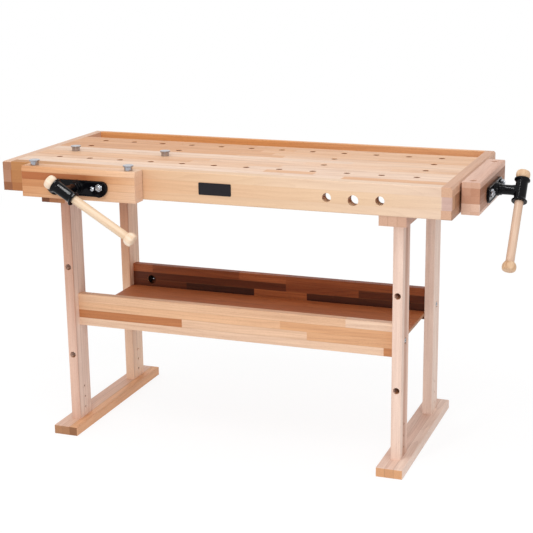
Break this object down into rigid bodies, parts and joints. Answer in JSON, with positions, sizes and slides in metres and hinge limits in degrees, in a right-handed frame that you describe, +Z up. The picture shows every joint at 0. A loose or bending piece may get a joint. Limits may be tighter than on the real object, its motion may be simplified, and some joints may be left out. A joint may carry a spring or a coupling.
{
  "type": "woodworking bench with front and tail vise",
  "caption": "Joiner's bench in beech: framed top with dog holes and tool tray, two trestles, stretchers with a shelf, and two screw vises with wooden jaws and sliding T-handles.",
  "frame": {"origin": "on the floor, under the middle of the framed top (vises left out)", "axes": "+X to the right along the bench, towards the tail vise; +Y to the back, towards the tool tray; +Z up; the front vise faces -Y"},
  "size_m": [1.606, 0.7945, 0.917],
  "materials": {
    "beech_top": "planed and oiled beech, glued up from staves",
    "beech_frame": "planed and oiled steamed beech",
    "beech_shelf": "planed and oiled beech in darker staves",
    "handle_wood": "turned pale beech, satin lacquer",
    "cast_black": "gloss black enamel on cast iron",
    "rod_steel": "oiled bright steel bar",
    "zinc_steel": "bright zinc-plated steel",
    "dog_chrome": "turned and nickel-plated steel",
    "black_plate": "black enamelled metal plate, bare"
  },
  "bodies": {
    "bench": {"top_slab": "beech_top", "front_apron": "beech_top", "end_cap_left": "beech_top", "end_cap_right": "beech_top", "rear_rail": "beech_top", "tray_rail": "beech_top", "bearer_left": "beech_frame", "bearer_right": "beech_frame", "foot_left": "beech_frame", "foot_right": "beech_frame", "leg_front_left": "beech_frame", "leg_front_right": "beech_frame", "leg_rear_left": "beech_frame", "leg_rear_right": "beech_frame", "front_stretcher": "beech_frame", "rear_stretcher": "beech_shelf", "shelf": "beech_shelf", "front_ledger": "beech_shelf", "rear_ledger": "beech_shelf", "tray_board": "beech_shelf", "ledger_screws": "zinc_steel", "stretcher_bolts": "zinc_steel", "stretcher_washers": "zinc_steel", "stretcher_nuts": "zinc_steel", "stretcher_saddles": "zinc_steel", "top_coach_screws": "zinc_steel", "stretcher_dowels": "beech_frame", "name_plate": "black_plate", "front_bracket": "cast_black", "front_bracket_screws": "zinc_steel", "tail_bracket": "cast_black", "tail_bracket_screws": "zinc_steel"},
    "front_jaw_assembly": {"front_jaw": "beech_top", "front_face_plate": "cast_black", "front_face_bolts": "zinc_steel", "front_guide_rods": "rod_steel", "front_rod_washers": "zinc_steel", "front_rod_nuts": "zinc_steel"},
    "front_screw_assembly": {"front_screw": "cast_black", "front_screw_collar": "zinc_steel"},
    "front_handle": {"front_handle_bar": "handle_wood", "front_handle_upper_knob": "handle_wood", "front_handle_lower_knob": "handle_wood"},
    "tail_jaw_assembly": {"tail_jaw": "beech_top", "tail_face_plate": "cast_black", "tail_face_bolts": "zinc_steel", "tail_guide_rods": "rod_steel", "tail_rod_washers": "zinc_steel", "tail_rod_nuts": "zinc_steel"},
    "tail_screw_assembly": {"tail_screw": "cast_black", "tail_screw_collar": "zinc_steel"},
    "tail_handle": {"tail_handle_bar": "handle_wood", "tail_handle_upper_knob": "handle_wood", "tail_handle_lower_knob": "handle_wood"},
    "dog_top_left_lift": {"dog_top_left": "dog_chrome"},
    "dog_top_right_lift": {"dog_top_right": "dog_chrome"},
    "dog_jaw_left_lift": {"dog_jaw_left": "dog_chrome"},
    "dog_jaw_right_lift": {"dog_jaw_right": "dog_chrome"}
  },
  "joints": [
    {"name": "front_jaw_travel", "type": "slide", "parent": "bench", "child": "front_jaw_assembly", "axis": [0, -1, 0], "range_m": [-0.00251, 0.15001]},
    {"name": "front_screw_turn", "type": "hinge", "parent": "front_jaw_assembly", "child": "front_screw_assembly", "pos_m": [-0.426, -0.456, 0.846], "axis": [0, -1, 0], "range_deg": [-150, 9000]},
    {"name": "front_handle_slide", "type": "slide", "parent": "front_screw_assembly", "child": "front_handle", "axis": [-0.8536, 0, 0.521], "range_m": [0, 0.1965]},
    {"name": "tail_jaw_travel", "type": "slide", "parent": "bench", "child": "tail_jaw_assembly", "axis": [1, 0, 0], "range_m": [-0.00401, 0.15001]},
    {"name": "tail_screw_turn", "type": "hinge", "parent": "tail_jaw_assembly", "child": "tail_screw_assembly", "pos_m": [0.8625, -0.02775, 0.846], "axis": [1, 0, 0], "range_deg": [-240, 9000]},
    {"name": "tail_handle_slide", "type": "slide", "parent": "tail_screw_assembly", "child": "tail_handle", "axis": [0, 0.6157, 0.788], "range_m": [0, 0.1965]},
    {"name": "dog_top_left_out", "type": "slide", "parent": "bench", "child": "dog_top_left_lift", "axis": [0, 0, 1], "range_m": [0, 0.07]},
    {"name": "dog_top_right_out", "type": "slide", "parent": "bench", "child": "dog_top_right_lift", "axis": [0, 0, 1], "range_m": [0, 0.07]},
    {"name": "dog_jaw_left_out", "type": "slide", "parent": "front_jaw_assembly", "child": "dog_jaw_left_lift", "axis": [0, 0, 1], "range_m": [0, 0.07]},
    {"name": "dog_jaw_right_out", "type": "slide", "parent": "front_jaw_assembly", "child": "dog_jaw_right_lift", "axis": [0, 0, 1], "range_m": [0, 0.07]}
  ],
  "couplings": [
    {"joint": "front_jaw_travel", "follows": "front_screw_turn", "m_per_rad": 0.00095493},
    {"joint": "tail_jaw_travel", "follows": "tail_screw_turn", "m_per_rad": 0.00095493}
  ]
}
